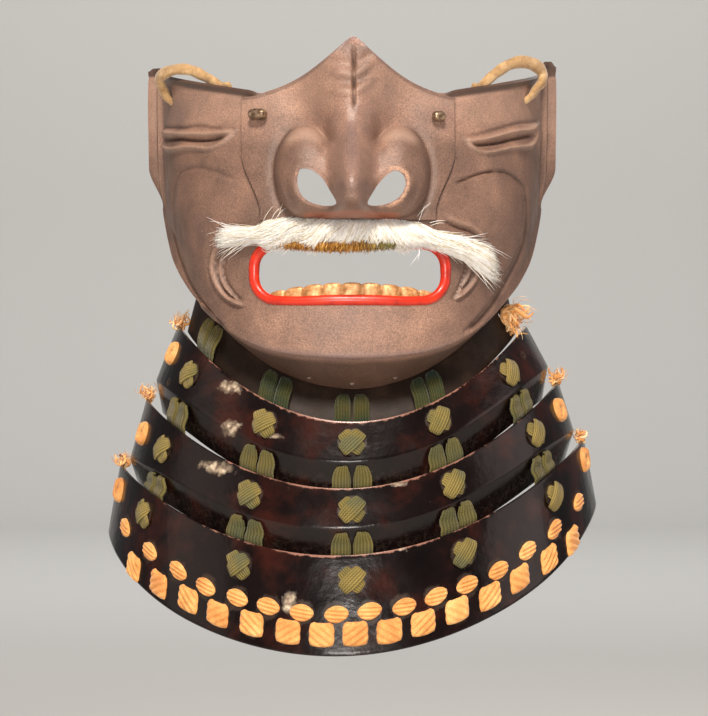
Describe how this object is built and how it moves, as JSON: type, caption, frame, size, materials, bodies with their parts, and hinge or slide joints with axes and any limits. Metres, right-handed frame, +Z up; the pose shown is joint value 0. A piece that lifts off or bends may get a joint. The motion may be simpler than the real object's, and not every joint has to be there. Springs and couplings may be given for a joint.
{
  "type": "samurai face guard",
  "caption": "Lacquered iron half mask with a nose plate, open mouth, gilt teeth, moustache and leather loops, over a throat guard of curved lames joined by flat silk laces.",
  "frame": {"origin": "inner face of the chin, where the guard rests on the wearer's chin", "axes": "+Z up towards the brow, -Y the way the face looks, +X to the right of a viewer in front"},
  "size_m": [0.21, 0.1307, 0.2461],
  "materials": {
    "face_lacquer": "matte russet-brown lacquer over hammered iron",
    "black_lacquer": "glossy brown-black lacquer, worn at the edges",
    "pin_brass": "dark patinated brass",
    "gilt": "worn gold lacquer",
    "white_hair": "white horsehair",
    "tan_leather": "pale tanned leather lace",
    "green_silk": "faded green braided silk",
    "orange_silk": "frayed orange silk",
    "rivet_iron": "lacquered over with the face plate"
  },
  "bodies": {
    "root": {"face_plate": "face_lacquer", "nose_plate": "face_lacquer", "nose_pin_left": "pin_brass", "nose_pin_right": "pin_brass", "lower_teeth": "gilt", "moustache": "white_hair", "cheek_loop_left": "tan_leather", "cheek_loop_right": "tan_leather", "neck_lame_1": "face_lacquer", "neck_lame_2": "black_lacquer", "neck_lame_3": "black_lacquer", "neck_lame_4": "black_lacquer", "neck_rivet_left": "rivet_iron", "neck_rivet_centre": "rivet_iron", "neck_rivet_right": "rivet_iron", "lace_1_1": "green_silk", "lace_1_2": "green_silk", "lace_1_3": "green_silk", "lace_1_4": "green_silk", "lace_1_5": "green_silk", "lace_2_1": "green_silk", "lace_2_2": "green_silk", "lace_2_3": "green_silk", "lace_2_4": "green_silk", "lace_2_5": "green_silk", "lace_3_1": "green_silk", "lace_3_2": "green_silk", "lace_3_3": "green_silk", "lace_3_4": "green_silk", "lace_3_5": "green_silk", "frayed_lace_1_right": "orange_silk", "frayed_lace_2_left": "orange_silk", "frayed_lace_3_left": "orange_silk", "frayed_lace_3_right": "orange_silk", "frayed_lace_4_left": "orange_silk", "frayed_lace_4_right": "orange_silk"}
  },
  "joints": []
}
